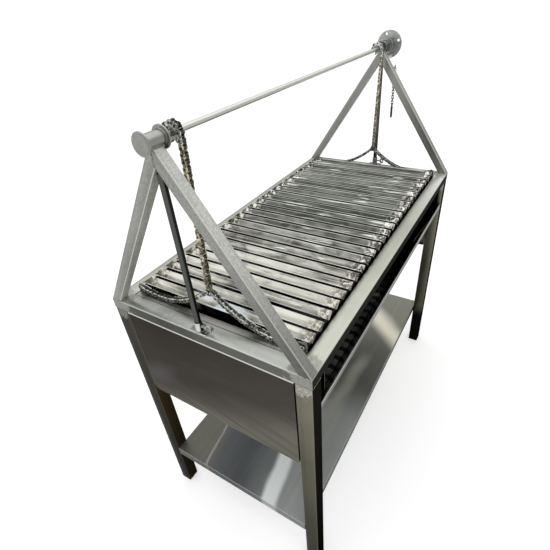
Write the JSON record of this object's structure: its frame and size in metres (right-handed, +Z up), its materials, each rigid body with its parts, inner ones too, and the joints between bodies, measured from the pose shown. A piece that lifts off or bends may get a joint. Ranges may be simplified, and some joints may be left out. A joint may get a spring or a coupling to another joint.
{
  "type": "charcoal grill",
  "caption": "Charcoal grill on legs: open-fronted trough firebox, shelf, and a grate of V slats that roller chains lift from a cranked axle on two A-frames.",
  "frame": {"origin": "on the floor, under the middle of the whole reach in X and Y; the four legs stand 52.5 mm to -X of it, because the crank reaches further than the hub at the other end", "axes": "+Z up; X along the grill, +X towards the index disc and the crank; -Y towards the open side"},
  "size_m": [1.2656, 0.57, 1.322],
  "materials": {
    "brushed_steel": "brushed stainless steel",
    "rail_steel": "lightly brushed stainless steel, ground at the welded corners",
    "panel_steel": "brushed stainless steel, reflecting a dark room",
    "shelf_steel": "brushed stainless steel with broad soft reflections",
    "firebox_steel": "brushed stainless steel sheet",
    "post_steel": "satin stainless steel, brushed lengthwise",
    "slat_steel": "stainless steel sheet folded to a V",
    "lift_chain_steel": "chain steel with a bronze tint of oil",
    "chain_steel": "plain chain steel",
    "bright_steel": "polished steel",
    "galvanised": "matt galvanised steel",
    "strut_steel": "dark drawn steel bar",
    "bush_bronze": "sintered bronze",
    "black_plastic": "black moulded plastic"
  },
  "bodies": {
    "frame": {"a_frame_post_front_left": "post_steel", "a_frame_post_front_right": "post_steel", "a_frame_post_rear_left": "post_steel", "a_frame_post_rear_right": "post_steel", "end_panel_left": "panel_steel", "end_panel_right": "panel_steel", "firebox_end_left": "firebox_steel", "firebox_end_right": "firebox_steel", "firebox_floor": "firebox_steel", "firebox_front_wall": "firebox_steel", "firebox_rear_wall": "firebox_steel", "foot_plug_front_left": "black_plastic", "foot_plug_front_right": "black_plastic", "foot_plug_rear_left": "black_plastic", "foot_plug_rear_right": "black_plastic", "grate_ledge_front": "rail_steel", "grate_ledge_rear": "rail_steel", "hub_bush_left": "bush_bronze", "hub_bush_right": "bush_bronze", "hub_cap_left": "galvanised", "hub_left": "galvanised", "hub_right": "galvanised", "keeper_eye": "bright_steel", "leg_front_left": "brushed_steel", "leg_front_right": "brushed_steel", "leg_rear_left": "brushed_steel", "leg_rear_right": "brushed_steel", "lift_chain_left": "lift_chain_steel", "lift_chain_right": "lift_chain_steel", "lock_boss": "galvanised", "rail_front": "rail_steel", "rail_left": "rail_steel", "rail_rear": "rail_steel", "rail_right": "rail_steel", "shelf": "shelf_steel", "strut_left": "strut_steel", "strut_right": "strut_steel", "strut_socket_left": "galvanised", "strut_socket_right": "galvanised"},
    "grate": {"grate_rack": "slat_steel", "grate_lug_front_left": "slat_steel", "grate_lug_front_right": "slat_steel", "grate_lug_rear_left": "slat_steel", "grate_lug_rear_right": "slat_steel", "branch_chain_front_left": "chain_steel", "branch_chain_front_right": "chain_steel", "branch_chain_rear_left": "chain_steel", "branch_chain_rear_right": "chain_steel", "yoke_left": "chain_steel", "yoke_right": "chain_steel"},
    "axle": {"axle": "bright_steel", "index_disc": "galvanised", "crank_arm": "galvanised", "sprocket_left": "chain_steel", "sprocket_right": "chain_steel"},
    "crank_grip": {"crank_grip": "black_plastic"},
    "keeper": {"keeper_chain": "chain_steel", "lock_pin": "strut_steel"},
    "thumb_screw_left": {"thumb_screw_left": "galvanised"},
    "thumb_screw_right": {"thumb_screw_right": "galvanised"}
  },
  "joints": [
    {"name": "grate_lift", "type": "slide", "parent": "frame", "child": "grate", "axis": [0, 0, 1], "range_m": [0, 0.2032], "deforming": ["lift_chain_left", "lift_chain_right"]},
    {"name": "axle_spin", "type": "hinge", "parent": "frame", "child": "axle", "pos_m": [0, 0, 1.277], "axis": [1, 0, 0], "range_deg": [-720.5, 0]},
    {"name": "crank_grip_turn", "type": "hinge", "parent": "axle", "child": "crank_grip", "pos_m": [0.5975, 0.03354, 1.25172], "axis": [1, 0, 0], "continuous": true},
    {"name": "keeper_swing", "type": "hinge", "parent": "frame", "child": "keeper", "pos_m": [0.5275, -0.0433, 1.204], "axis": [1, 0, 0], "range_deg": [-80, 80]},
    {"name": "thumb_screw_left_turn", "type": "hinge", "parent": "frame", "child": "thumb_screw_left", "pos_m": [-0.6075, -0.02, 0.8723], "axis": [0, 1, 0], "continuous": true},
    {"name": "thumb_screw_right_turn", "type": "hinge", "parent": "frame", "child": "thumb_screw_right", "pos_m": [0.5025, -0.02, 0.8723], "axis": [0, 1, 0], "continuous": true}
  ],
  "couplings": [
    {"joint": "axle_spin", "follows": "grate_lift", "rad_per_m": -61.842}
  ]
}
